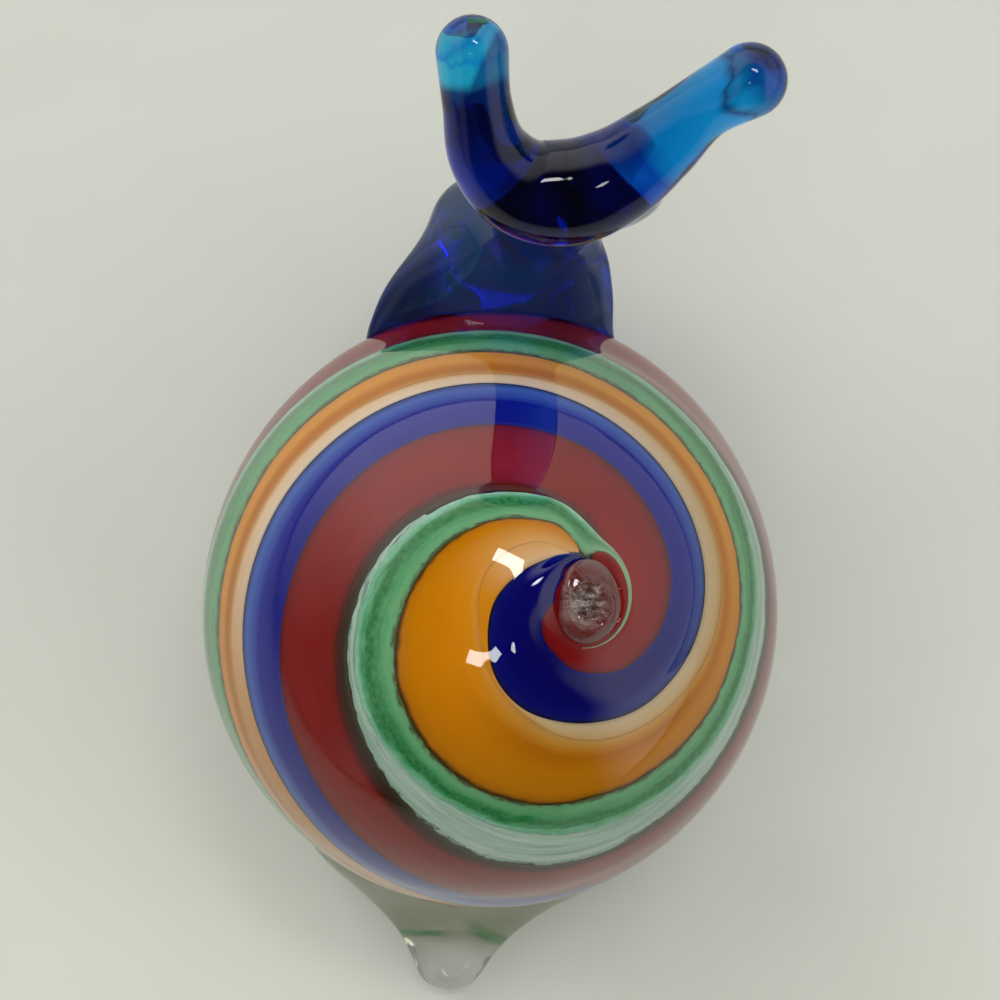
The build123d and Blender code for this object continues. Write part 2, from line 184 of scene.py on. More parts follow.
# ---------------------------------------------------------------- mesh helpers
def new_mesh(name, verts, faces, smooth=True):
    me = bpy.data.meshes.new(name)
    me.from_pydata([tuple(v) for v in np.asarray(verts) * MM], [], faces)
    me.validate(clean_customdata=False)
    bm = bmesh.new()
    bm.from_mesh(me)
    bmesh.ops.recalc_face_normals(bm, faces=bm.faces)
    if bm.calc_volume(signed=True) < 0:
        bmesh.ops.reverse_faces(bm, faces=bm.faces)
    bm.to_mesh(me)
    bm.free()
    me.update()
    if smooth:
        me.shade_smooth()
    ob = bpy.data.objects.new(name, me)
    bpy.context.scene.collection.objects.link(ob)
    return ob


def grid_faces(rows, cols, start=0, close_cols=False, flip=False):
    faces = []
    for i in range(rows - 1):
        for j in range(cols if close_cols else cols - 1):
            k = (j + 1) % cols
            q = (start + i * cols + j, start + i * cols + k, start + (i + 1) * cols + k, start + (i + 1) * cols + j)
            faces.append(q[::-1] if flip else q)
    return faces


def store(ob, name, values):
    at = ob.data.attributes.new(name, "FLOAT_VECTOR", "POINT")
    at.data.foreach_set("vector", np.asarray(values, np.float32).ravel())


def mark(ob, node):
    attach(ob, "root")
    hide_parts(node)


# ---------------------------------------------------------------- material helpers
class Tree:
    def __init__(self, name):
        self.mat = bpy.data.materials.new(name)
        self.mat.use_nodes = True
        self.nt = self.mat.node_tree
        self.nt.nodes.clear()
        self.out = self.add("ShaderNodeOutputMaterial")
        self.bsdf = self.add("ShaderNodeBsdfPrincipled")
        self.link(self.bsdf.outputs[0], self.out.inputs["Surface"])

    def add(self, kind, **props):
        n = self.nt.nodes.new(kind)
        for k, v in props.items():
            setattr(n, k, v)
        return n

    def link(self, a, b):
        self.nt.links.new(a, b)

    def set(self, **values):
        for k, v in values.items():
            self.bsdf.inputs[k.replace("_", " ")].default_value = v

    def math(self, op, a, b=None, c=None, clamp=False):
        n = self.add("ShaderNodeMath", operation=op)
        n.use_clamp = clamp
        for i, v in enumerate((a, b, c)):
            if v is None:
                continue
            if isinstance(v, (int, float)):
                n.inputs[i].default_value = v
            else:
                self.link(v, n.inputs[i])
        return n.outputs[0]

    def flow(self):
        n = self.add("ShaderNodeAttribute", attribute_name="flow")
        s = self.add("ShaderNodeSeparateXYZ")
        self.link(n.outputs["Vector"], s.inputs[0])
        return n.outputs["Vector"], s.outputs[0], s.outputs[1], s.outputs[2]

    def lap(self, a, b):
        """0 to 1 over a stretch of turns along the cane."""
        n = self.add("ShaderNodeAttribute", attribute_name="lap")
        m = self.add("ShaderNodeMapRange", interpolation_type="SMOOTHSTEP")
        m.inputs["From Min"].default_value = a
        m.inputs["From Max"].default_value = b
        self.link(n.outputs["Fac"], m.inputs["Value"])
        return m.outputs[0]

    def stretch(self, vec, scale, shift=(0, 0, 0)):
        n = self.add("ShaderNodeMapping")
        n.inputs["Scale"].default_value = scale
        n.inputs["Location"].default_value = shift
        self.link(vec, n.inputs["Vector"])
        return n.outputs[0]

    def noise(self, vec, scale, detail=3.0, rough=0.55, distort=0.0):
        n = self.add("ShaderNodeTexNoise")
        n.inputs["Scale"].default_value = scale
        n.inputs["Detail"].default_value = detail
        n.inputs["Roughness"].default_value = rough
        n.inputs["Distortion"].default_value = distort
        if vec is not None:
            self.link(vec, n.inputs["Vector"])
        return n.outputs["Fac"]

    def ramp(self, fac, stops, mode="LINEAR"):
        n = self.add("ShaderNodeValToRGB")
        n.color_ramp.interpolation = mode
        el = n.color_ramp.elements
        while len(el) < len(stops):
            el.new(0.5)
        for e, (p, c) in zip(el, stops):
            e.position = p
            e.color = (*c, 1.0)
        self.link(fac, n.inputs[0])
        return n.outputs[0]

    def mix(self, fac, a, b, mode="MIX"):
        n = self.add("ShaderNodeMix", data_type="RGBA", blend_type=mode)
        for sock, v in ((n.inputs[0], fac), (n.inputs[6], a), (n.inputs[7], b)):
            if isinstance(v, (int, float)):
                sock.default_value = v
            elif isinstance(v, tuple):
                sock.default_value = (*v, 1.0)
            else:
                self.link(v, sock)
        return n.outputs[2]

    def bump(self, height, strength, distance):
        n = self.add("ShaderNodeBump")
        n.inputs["Strength"].default_value = strength
        n.inputs["Distance"].default_value = distance
        self.link(height, n.inputs["Height"])
        self.link(n.outputs[0], self.bsdf.inputs["Normal"])

    def object_vec(self):
        return self.add("ShaderNodeTexCoord").outputs["Object"]


def srgb(r, g, b):
    def f(c):
        c /= 255.0
        return c / 12.92 if c <= 0.04045 else ((c + 0.055) / 1.055) ** 2.4
    return (f(r), f(g), f(b))


def clear_glass(name, tint=(1, 1, 1), ior=1.5, wave=0.02, absorb=None, density=0.0, rough=0.0):
    t = Tree(name)
    t.set(Base_Color=(*tint, 1.0), Roughness=rough, IOR=ior, Transmission_Weight=1.0)
    vec = t.object_vec()
    slow = t.noise(vec, 55.0, 2.0, 0.4, 0.3)
    fine = t.noise(vec, 900.0, 2.0, 0.5)
    both = t.math("ADD", t.math("MULTIPLY", slow, 1.0), t.math("MULTIPLY", fine, 0.02))
    t.bump(both, wave, 0.002)
    if absorb:
        v = t.add("ShaderNodeVolumeAbsorption")
        v.inputs["Color"].default_value = (*absorb, 1.0)
        v.inputs["Density"].default_value = density
        t.link(v.outputs[0], t.out.inputs["Volume"])
    return t.mat


def cane_tree(name):
    t = Tree(name)
    t.set(Roughness=0.35, IOR=1.5)
    t.bsdf.inputs["Specular IOR Level"].default_value = 0.0
    return t


# ---------------------------------------------------------------- canes
STEP = 1.25


def cane(name, inner, outer, start, end, lift, mat, ragged=(0, 0), across=14, seed=1):
    turn = np.arange(start, end + 0.01, STEP)
    calm = smooth(70, 190, turn)
    t0 = inner(turn) + (calm * ripple(turn, seed, ragged[0], (5, 11, 19, 37, 71)) if ragged[0] else 0)
    t1 = outer(turn) + (calm * ripple(turn, seed + 50, ragged[1], (5, 11, 19, 37, 71)) if ragged[1] else 0)
    t1 = np.maximum(t1, t0 + 0.04)
    t0, t1 = np.minimum(t0, 167.0), np.minimum(t1, 167.2)
    mid = (t0 + t1) / 2
    step = np.radians(STEP) * CANE_R * np.sin(np.radians(mid))
    drift = np.radians(np.gradient(mid)) * CANE_R
    length = np.cumsum(np.hypot(step, drift))
    n = len(turn)

    def sheet(cols, r):
        v = np.linspace(0, 1, cols)[None, :]
        th = t0[:, None] * (1 - v) + t1[:, None] * v
        ph = np.repeat(turn[:, None], cols, 1)
        pts = ball(th, ph, np.full_like(th, r)).reshape(-1, 3)
        fl = np.stack([np.repeat(length[:, None], cols, 1),
                       (th - mid[:, None]) * np.radians(1) * CANE_R,
                       np.repeat(v, n, 0)], -1).reshape(-1, 3)
        return pts, fl
    a, fa = sheet(across + 1, CANE_R + lift)
    inner_cols = 5
    b, fb = sheet(inner_cols, CANE_R - 2.1 + lift)
    ca, cb = across + 1, inner_cols
    off = len(a)
    faces = grid_faces(n, ca, 0, flip=False) + grid_faces(n, cb, off, flip=True)
    for i in range(n - 1):
        faces.append((i * ca, (i + 1) * ca, off + (i + 1) * cb, off + i * cb))
        faces.append((i * ca + ca - 1, off + i * cb + cb - 1, off + (i + 1) * cb + cb - 1, (i + 1) * ca + ca - 1))
    faces.append(tuple([j for j in range(ca)] [::-1] + [off + j for j in range(cb)]))
    last_a, last_b = (n - 1) * ca, off + (n - 1) * cb
    faces.append(tuple([last_a + j for j in range(ca)] + [last_b + j for j in range(cb)][::-1]))
    # quads wind outwards when the inner border is nearer the apex
    faces = [f[::-1] for f in faces]
    ob = new_mesh(name, np.vstack([a, b]), faces)
    store(ob, "flow", np.vstack([fa, fb]))
    laps = np.concatenate([np.repeat(turn, ca), np.repeat(turn, cb)]) / 360.0
    at = ob.data.attributes.new("lap", "FLOAT", "POINT")
    at.data.foreach_set("value", laps.astype(np.float32))
    ob.data.materials.append(mat)
    mark(ob, name)
    return ob


def red_inner(turn):
    turn = np.asarray(turn, float)
    return np.where(turn < 440, 1.2, red_edge(turn - 360))


def red_mat():
    t = cane_tree("ruby_glass")
    vec, along, across, v = t.flow()
    streak = t.noise(t.stretch(vec, (0.02, 0.9, 0.0)), 1.0, 4.0, 0.6)
    cloud = t.noise(t.stretch(vec, (0.06, 0.25, 0.0)), 1.0, 2.0, 0.5)
    base = t.ramp(v, [(0.0, srgb(96, 30, 20)), (0.10, srgb(138, 24, 16)), (0.55, srgb(150, 24, 20)),
                      (0.90, srgb(136, 20, 22)), (1.0, srgb(92, 16, 34))])
    col = t.mix(t.ramp(streak, [(0.35, (0, 0, 0)), (0.7, (0.5, 0.5, 0.5))]), base, srgb(122, 16, 14))
    col = t.mix(t.ramp(cloud, [(0.45, (0, 0, 0)), (0.8, (0.35, 0.35, 0.35))]), col, srgb(164, 40, 30))
    t.link(col, t.bsdf.inputs["Base Color"])
    return t.mat


def blue_mat():
    t = cane_tree("cobalt_cane_glass")
    vec, along, across, v = t.flow()
    streak = t.noise(t.stretch(vec, (0.03, 1.3, 0.0)), 1.0, 4.0, 0.6)
    wob = t.math("ADD", v, t.math("MULTIPLY", t.math("SUBTRACT", streak, 0.5), 0.16), clamp=True)
    near = t.ramp(wob, [(0.0, srgb(22, 20, 120)), (0.12, srgb(6, 4, 96)), (0.60, srgb(4, 4, 104)),
                        (0.85, srgb(10, 14, 118)), (0.96, srgb(20, 24, 96))])
    far = t.ramp(wob, [(0.0, srgb(44, 38, 140)), (0.08, srgb(14, 16, 140)), (0.55, srgb(12, 24, 150)),
                       (0.63, srgb(46, 72, 172)), (0.86, srgb(74, 108, 192)), (0.96, srgb(58, 80, 150))])
    base = t.mix(t.lap(0.75, 1.25), near, far)
    edge = t.ramp(v, [(0.955, (0, 0, 0)), (0.985, (1, 1, 1))])
    col = t.mix(edge, base, srgb(22, 22, 52))
    t.link(col, t.bsdf.inputs["Base Color"])
    return t.mat


def white_mat():
    t = cane_tree("cream_glass")
    vec, along, across, v = t.flow()
    streak = t.noise(t.stretch(vec, (0.03, 1.6, 0.0)), 1.0, 4.0, 0.6)
    wob = t.math("ADD", v, t.math("MULTIPLY", t.math("SUBTRACT", streak, 0.5), 0.25), clamp=True)
    far = t.ramp(wob, [(0.0, srgb(208, 192, 170)), (0.18, srgb(242, 220, 190)), (0.72, srgb(240, 208, 166)),
                       (1.0, srgb(214, 152, 76))])
    warm = t.ramp(wob, [(0.0, srgb(188, 170, 136)), (0.25, srgb(216, 194, 150)), (0.70, srgb(214, 184, 132)),
                        (1.0, srgb(206, 158, 84))])
    far = t.mix(t.lap(1.05, 1.30), warm, far)
    far = t.mix(t.lap(1.44, 1.60), far, srgb(222, 160, 84))
    near = t.ramp(wob, [(0.0, srgb(226, 190, 150)), (0.3, srgb(240, 200, 150)), (0.7, srgb(236, 186, 122)),
                        (1.0, srgb(232, 178, 112))])
    near = t.mix(t.lap(0.40, 0.50), near, srgb(226, 148, 24))
    col = t.mix(t.lap(0.58, 0.72), near, far)
    t.link(col, t.bsdf.inputs["Base Color"])
    return t.mat


def orange_mat():
    t = cane_tree("amber_glass")
    vec, along, across, v = t.flow()
    streak = t.noise(t.stretch(vec, (0.03, 0.9, 0.0)), 1.0, 4.0, 0.6)
    wob = t.math("ADD", v, t.math("MULTIPLY", t.math("SUBTRACT", streak, 0.5), 0.16), clamp=True)
    near = t.ramp(wob, [(0.0, srgb(232, 164, 70)), (0.12, srgb(228, 150, 20)), (0.45, srgb(222, 142, 4)),
                        (0.80, srgb(214, 134, 4)), (0.94, srgb(198, 124, 14)), (1.0, srgb(164, 100, 22))])
    low = t.ramp(wob, [(0.0, srgb(208, 162, 88)), (0.10, srgb(206, 148, 50)), (0.26, srgb(190, 116, 4)),
                       (0.55, srgb(206, 132, 6)), (0.85, srgb(204, 130, 10)), (1.0, srgb(160, 100, 18))])
    near = t.mix(t.lap(0.56, 0.72), near, low)
    far = t.ramp(wob, [(0.0, srgb(212, 152, 76)), (0.14, srgb(200, 122, 20)), (0.30, srgb(204, 124, 14)),
                       (0.58, srgb(234, 160, 52)), (0.90, srgb(226, 154, 56)), (1.0, srgb(196, 124, 44))])
    col = t.mix(t.lap(0.85, 1.15), near, far)
    glow = t.math("MULTIPLY", t.math("SUBTRACT", 1.0, t.lap(0.36, 0.50)), t.ramp(wob, [(0.0, (1, 1, 1)), (0.75, (0, 0, 0))]))
    col = t.mix(glow, col, srgb(232, 178, 112))
    edge_n = t.noise(t.stretch(vec, (0.5, 2.0, 0.0)), 1.0, 3.0, 0.6)
    edge = t.math("ADD", v, t.math("MULTIPLY", t.math("SUBTRACT", edge_n, 0.5), 0.10))
    dark = t.ramp(edge, [(0.93, (0, 0, 0)), (0.985, (1, 1, 1))])
    col = t.mix(dark, col, srgb(92, 62, 22))
    t.link(col, t.bsdf.inputs["Base Color"])
    return t.mat


def green_mat():
    t = cane_tree("emerald_glass")
    vec, along, across, v = t.flow()
    fibre = t.noise(t.stretch(vec, (0.045, 0.95, 0.0)), 1.0, 4.0, 0.6, 0.5)
    blot = t.noise(t.stretch(vec, (0.22, 0.5, 0.0), (7, 3, 0)), 1.0, 4.0, 0.6, 0.7)
    tone = t.math("ADD", t.math("MULTIPLY", fibre, 0.55), t.math("MULTIPLY", blot, 0.45))
    wob = t.math("ADD", v, t.math("MULTIPLY", t.math("SUBTRACT", tone, 0.5), 0.75), clamp=True)
    col = t.ramp(wob, [(0.0, srgb(118, 176, 124)), (0.22, srgb(112, 186, 134)), (0.42, srgb(76, 162, 104)),
                       (0.58, srgb(34, 124, 66)), (0.72, srgb(40, 134, 76)), (0.86, srgb(112, 190, 146)),
                       (1.0, srgb(172, 218, 196))])
    mott = t.noise(t.stretch(vec, (1.3, 1.5, 0.0), (4, 4, 0)), 1.0, 3.0, 0.6)
    col = t.mix(t.ramp(mott, [(0.42, (0, 0, 0)), (0.72, (0.45, 0.45, 0.45))]), col, srgb(120, 172, 116))
    dash = t.noise(t.stretch(vec, (0.30, 1.6, 0.0), (2, 6, 0)), 1.0, 5.0, 0.7, 0.8)
    col = t.mix(t.ramp(dash, [(0.62, (0, 0, 0)), (0.74, (0.65, 0.65, 0.65))]), col, srgb(10, 88, 46))
    dawn = t.math("SUBTRACT", 1.0, t.lap(0.10, 0.30))
    col = t.mix(t.math("MULTIPLY", dawn, 0.7), col, srgb(168, 196, 160))
    edge_n = t.noise(t.stretch(vec, (0.5, 1.0, 0.0), (1, 8, 0)), 1.0, 5.0, 0.7)
    edge = t.math("SUBTRACT", v, t.math("MULTIPLY", t.math("SUBTRACT", edge_n, 0.42), 0.46))
    dark = t.ramp(edge, [(0.0, (0.8, 0.8, 0.8)), (0.07, (0, 0, 0))])
    col = t.mix(dark, col, srgb(78, 72, 42))
    t.link(col, t.bsdf.inputs["Base Color"])
    return t.mat


def aqua_mat():
    t = cane_tree("aqua_glass")
    vec, along, across, v = t.flow()
    fibre = t.noise(t.stretch(vec, (0.06, 0.9, 0.0), (3, 1, 0)), 1.0, 5.0, 0.62, 0.5)
    col = t.ramp(fibre, [(0.28, srgb(136, 176, 150)), (0.46, srgb(172, 204, 184)), (0.62, srgb(196, 218, 202)),
                         (0.8, srgb(214, 228, 214))])
    fleck = t.noise(t.stretch(vec, (0.30, 1.7, 0.0), (9, 4, 0)), 1.0, 6.0, 0.75, 0.6)
    spot = t.ramp(fleck, [(0.635, (0, 0, 0)), (0.70, (0.9, 0.9, 0.9))])
    col = t.mix(spot, col, srgb(84, 76, 60))
    early = t.math("SUBTRACT", 1.0, t.lap(0.50, 0.66))
    ink = t.noise(t.stretch(vec, (0.16, 1.3, 0.0), (11, 7, 0)), 1.0, 5.0, 0.7, 0.8)
    ink = t.ramp(ink, [(0.50, (0, 0, 0)), (0.66, (0.85, 0.85, 0.85))])
    col = t.mix(t.math("MULTIPLY", ink, early), col, srgb(70, 108, 116))
    edge_n = t.noise(t.stretch(vec, (0.35, 0.8, 0.0), (5, 2, 0)), 1.0, 5.0, 0.7)
    edge = t.math("ADD", v, t.math("MULTIPLY", t.math("SUBTRACT", edge_n, 0.5), 0.75))
    dark = t.ramp(edge, [(0.90, (0, 0, 0)), (1.0, (1, 1, 1))])
    col = t.mix(dark, col, srgb(76, 66, 50))
    t.link(col, t.bsdf.inputs["Base Color"])
    return t.mat


def clear_mat():
    # painted shade: the clear cane gets dark browns standing in for the shaded inside of the shell seen through the
    # clear glass
    t = cane_tree("smoke_glass")
    vec, along, across, v = t.flow()
    n = t.noise(t.stretch(vec, (0.10, 0.8, 0.0)), 1.0, 4.0, 0.6)
    wob = t.math("ADD", v, t.math("MULTIPLY", t.math("SUBTRACT", n, 0.5), 0.5), clamp=True)
    col = t.ramp(wob, [(0.0, srgb(84, 78, 56)), (0.3, srgb(62, 50, 34)), (0.62, srgb(66, 42, 30)),
                       (1.0, srgb(100, 26, 20))])
    col = t.mix(t.math("SUBTRACT", 1.0, t.lap(0.30, 0.45)), col, srgb(104, 52, 40))
    t.link(col, t.bsdf.inputs["Base Color"])
    return t.mat


red = cane("red_cane", red_inner, blue_edge, 80, 1290, 0.00, red_mat(), (0, 0), 20, 1)
gap = cane("clear_cane", clear_edge, red_edge, 66, 1255, 0.010, clear_mat(), (0.20, 0.16), 8, 2)
aqua = cane("aqua_cane", aqua_edge, clear_edge, 150, 1260, 0.020, aqua_mat(), (0.20, 0.20), 10, 3)
green = cane("green_cane", green_edge, aqua_edge, -95, 1265, 0.030, green_mat(), (0.16, 0.25), 14, 4)
orange = cane("orange_cane", orange_edge, green_edge, 98, 1270, 0.040, orange_mat(), (0, 0.20), 16, 5)
white = cane("white_cane", white_edge, orange_edge, 110, 1275, 0.050, white_mat(), (0, 0), 8, 6)
blue = cane("blue_cane", blue_edge, white_edge, -70, 1280, 0.060, blue_mat(), (0, 0), 14, 7)


# ---------------------------------------------------------------- shell casing
def turn_of(theta, phi):
    """Which turn of the blue cane lies over a point: share across it, for the raised ridge."""
    best = np.full(theta.shape, -1.0)
    for k in (0, 1):
        turn = phi + 360 * k
        ok = (turn > 90) & (turn < 620)
        lo, hi = blue_edge(turn), white_edge(turn)
        v = (theta - lo) / np.maximum(hi - lo, 0.5)
        best = np.where(ok & (v >= -0.35) & (v <= 1.15), v, best)
    return best


def casing():
    th = np.concatenate([np.linspace(6.3, 40, 68), np.linspace(40.75, 179.6, 150)])
    ph = np.arange(0, 360, 2.0)
    T, P = np.meshgrid(th, ph, indexing="ij")
    v = turn_of(T, P)
    hump = np.where(v >= -0.35, np.exp(-((v - 0.45) / 0.34) ** 2), 0.0)
    fade = np.clip((34 - T) / 22, 0, 1) ** 1.5
    hump2 = 0.0
    drift = 0.10 * np.sin(np.radians(P) * 2 + 0.6) * np.sin(np.radians(T)) + 0.06 * np.sin(np.radians(P) * 3 + 2 * np.radians(T))
    R = SHELL_R - 0.16 + 0.55 * hump * fade + drift
    R = R - 0.25 * np.clip((9.0 - T) / 3.0, 0, 1)
    outer = ball(T, P, R).reshape(-1, 3)
    ti = np.linspace(6.3, 179.6, 90)
    pi = np.arange(0, 360, 6.0)
    TI, PI = np.meshgrid(ti, pi, indexing="ij")
    inner = ball(TI, PI, np.full_like(TI, CASE_IN)).reshape(-1, 3)
    na, nb = len(ph), len(pi)
    off = len(outer)
    faces = grid_faces(len(th), na, 0, True, flip=True)
    n_outer = len(faces)
    faces.append(tuple((len(th) - 1) * na + j for j in range(na)))
    faces += grid_faces(len(ti), nb, off, True, flip=False)
    faces.append(tuple(off + (len(ti) - 1) * nb + j for j in range(nb))[::-1])
    # rim around the stub: three outer steps for each inner one
    k = na // nb
    for j in range(nb):
        ring = [j * k + i for i in range(k + 1)]
        ring = [r % na for r in ring]
        faces.append(tuple(ring + [off + (j + 1) % nb, off + j]))
    ob = new_mesh("shell_casing", np.vstack([outer, inner]), faces)
    ob.data.materials.append(clear_glass("casing_glass", (1, 1, 1), 1.5, 0.012))
    fused = Tree("fused_face")
    fused.nt.nodes.remove(fused.bsdf)
    see = fused.add("ShaderNodeBsdfTransparent")
    fused.link(see.outputs[0], fused.out.inputs["Surface"])
    ob.data.materials.append(fused.mat)
    inside = [1 if min(p.vertices) >= off else 0 for p in ob.data.polygons]
    ob.data.polygons.foreach_set("material_index", inside)
    mark(ob, "shell_casing")
    return ob


case = casing()


# ---------------------------------------------------------------- apex nub
def nub():
    rings, seg = 44, 120
    pts = []
    for i in range(rings):
        u = i / (rings - 1)
        for j in range(seg):
            a = 2 * math.pi * j / seg
            oval = 1.0 + 0.13 * math.cos(2 * (a - 1.50)) + 0.04 * math.cos(3 * a + 0.7)
            if u < 0.78:
                rho = u / 0.78
                rad = 4.6 * oval * rho
                wind = (a / (2 * math.pi) + 1.55 * rho + 0.10) % 1.0
                coil = (0.5 + 0.5 * math.cos(2 * math.pi * wind)) ** 1.5
                fold = noise.noise(Vector((rad * math.cos(a) * 0.85, rad * math.sin(a) * 0.85, 3.7)))
                fine = noise.noise(Vector((rad * math.cos(a) * 2.1, rad * math.sin(a) * 2.1, 9.1)))
                inside = 1 - float(smooth(0.35, 0.75, rho))
                top = (0.95 * (1 - rho ** 5) + 0.50 * coil * float(smooth(0.15, 0.5, rho)) * (1 - rho ** 8)
                       + inside * (0.55 * fold + 0.22 * fine))
                z = SHELL_R - 0.30 + top
            else:
                w = (u - 0.78) / 0.22
                rad = 4.6 * oval * (1 - 0.10 * w)
                z = SHELL_R - 0.30 - (SHELL_R - 0.30 - CASE_IN - 0.02) * w
            p = CENTRE + apex * z + first * rad * math.cos(a) + second * rad * math.sin(a)
            pts.append(p)
    faces = grid_faces(rings, seg, 0, True, flip=True)
    faces.append(tuple((rings - 1) * seg + j for j in range(seg)))
    ob = new_mesh("apex_nub", pts, [f for f in faces])
    t = Tree("nub_glass")
    t.set(Roughness=0.0, IOR=1.5, Transmission_Weight=0.62)
    vec = t.object_vec()
    off = t.add("ShaderNodeVectorMath", operation="DISTANCE")
    t.link(vec, off.inputs[0])
    off.inputs[1].default_value = tuple((CENTRE + apex * (SHELL_R + 0.6) + np.array([0.9, 0.0, 0.0])) * MM)
    n = t.noise(t.stretch(vec, (230.0, 420.0, 230.0)), 1.0, 3.0, 0.5, 3.0)
    grey = t.ramp(n, [(0.34, (0.02, 0.018, 0.016)), (0.50, (0.17, 0.15, 0.13)), (0.62, (0.55, 0.52, 0.47))])
    col = t.mix(t.ramp(off.outputs["Value"], [(0.0028, (0, 0, 0)), (0.0036, (1, 1, 1))]), grey, (0.20, 0.035, 0.030))
    rim = t.ramp(off.outputs["Value"], [(0.0046, (0, 0, 0)), (0.0051, (0.9, 0.9, 0.9))])
    col = t.mix(rim, col, (0.42, 0.43, 0.42))
    t.link(col, t.bsdf.inputs["Base Color"])
    t.bump(t.noise(vec, 300.0, 3.0, 0.5, 0.8), 0.25, 0.001)
    ob.data.materials.append(t.mat)
    mark(ob, "apex_nub")
    return ob


stub = nub()


# ---------------------------------------------------------------- foot with tail
def table_cols(rows, n):
    rows = np.array(rows, float)
    key = rows[:, 0]
    cols = [curve(dict(zip(key, rows[:, i]))) for i in range(1, rows.shape[1])]
    return key, cols


def bar_line(n=241):
    pts = np.array([(x, y, z + SHELL_Z) for x, y, z, r in BAR])
    rad = np.array([b[3] for b in BAR])
    d = np.concatenate([[0], np.cumsum(np.linalg.norm(np.diff(pts, axis=0), axis=1))])
    s = np.linspace(0, d[-1], n)
    line = np.stack([curve(dict(zip(d, pts[:, i])))(s) for i in range(3)], -1)
    return s, line, curve(dict(zip(d, rad)))(s)


BAR_S, BAR_P, BAR_R = bar_line()
NECK_KEY, NECK_COL = table_cols(NECK, 6)
FOOT_KEY, FOOT_COL = table_cols(FOOT, 4)


def foot_mat():
    t = Tree("foot_glass")
    t.set(Roughness=0.0, IOR=1.5, Transmission_Weight=0.88)
    vec = t.object_vec()
    xyz = t.add("ShaderNodeSeparateXYZ")
    t.link(vec, xyz.inputs[0])
    n = t.noise(vec, 120.0, 3.0, 0.55, 0.5)
    body = t.ramp(n, [(0.3, (0.66, 0.68, 0.52)), (0.7, (0.80, 0.81, 0.68))])
    # painted light: the glass turns clear and bright towards the tail's bulb, standing in for light the bulb focuses
    tip = t.add("ShaderNodeMapRange", interpolation_type="SMOOTHSTEP")
    tip.inputs["From Min"].default_value = 0.0475
    tip.inputs["From Max"].default_value = 0.054
    t.link(xyz.outputs["Y"], tip.inputs["Value"])
    col = t.mix(tip.outputs[0], body, (0.99, 0.99, 0.96))
    wave = t.noise(t.stretch(vec, (160.0, 60.0, 0.0)), 1.0, 3.0, 0.6)
    bend = t.math("ADD", xyz.outputs["Y"], t.math("MULTIPLY", t.math("SUBTRACT", wave, 0.5), 0.0016))
    top = t.math("GREATER_THAN", xyz.outputs["Z"], 0.0015)
    slope = t.math("ADD", 0.0496, t.math("MULTIPLY", t.math("SUBTRACT", 0.002, xyz.outputs["X"]), 0.5))

    def streak(col, level, half, x_lo, x_hi, tone):
        d = t.math("ABSOLUTE", t.math("SUBTRACT", bend, level))
        band = t.ramp(t.math("MULTIPLY", d, 100.0), [(half * 0.2, (0.8, 0.8, 0.8)), (half * 1.15, (0, 0, 0))], "EASE")
        up = t.math("MULTIPLY", t.math("SUBTRACT", xyz.outputs["X"], x_lo), 420.0, clamp=True)
        down = t.math("MULTIPLY", t.math("SUBTRACT", x_hi, xyz.outputs["X"]), 420.0, clamp=True)
        span = t.math("MULTIPLY", up, down)
        return t.mix(t.math("MULTIPLY", t.math("MULTIPLY", band, span), top), col, tone)

    # painted refraction: green and orange lines on the tail's top stand in for the shell's stripes seen through the
    # glass
    col = streak(col, 0.0502, 0.085, 0.0058, 0.030, (0.10, 0.52, 0.18))
    col = streak(col, 0.0513, 0.06, 0.0115, 0.030, (0.85, 0.48, 0.14))
    col = streak(col, slope, 0.17, -0.030, 0.0040, (0.08, 0.46, 0.14))
    col = streak(col, t.math("ADD", slope, 0.0027), 0.11, -0.030, 0.0004, (0.85, 0.48, 0.12))
    t.link(col, t.bsdf.inputs["Base Color"])
    slow = t.noise(vec, 55.0, 2.0, 0.4, 0.3)
    t.bump(slow, 0.05, 0.002)
    v = t.add("ShaderNodeVolumeAbsorption")
    v.inputs["Color"].default_value = (0.60, 0.78, 0.52, 1.0)
    v.inputs["Density"].default_value = 6.0
    t.link(v.outputs[0], t.out.inputs["Volume"])
    return t.mat


def neck_back(x, z):
    """y of the back face of the neck at one place across it and one height."""
    yb, yf, w, xc, tp = (float(c(max(z, 0.0))) for c in NECK_COL)
    q = np.linspace(0.35, 1.0, 391)
    half = w * ((1 - tp) + tp * (0.25 + 2.36 * np.maximum(q - 0.25, 0) ** 2)) * np.sqrt(np.maximum(1 - (1 - q) ** (3 + 7 * tp), 0)) * np.sqrt(np.maximum(1 - q ** 3, 0))
    y = yf + (yb - yf) * q
    wide = half >= abs(x - xc)
    return float(y[wide].max()) if wide.any() else float(y[half.argmax()])


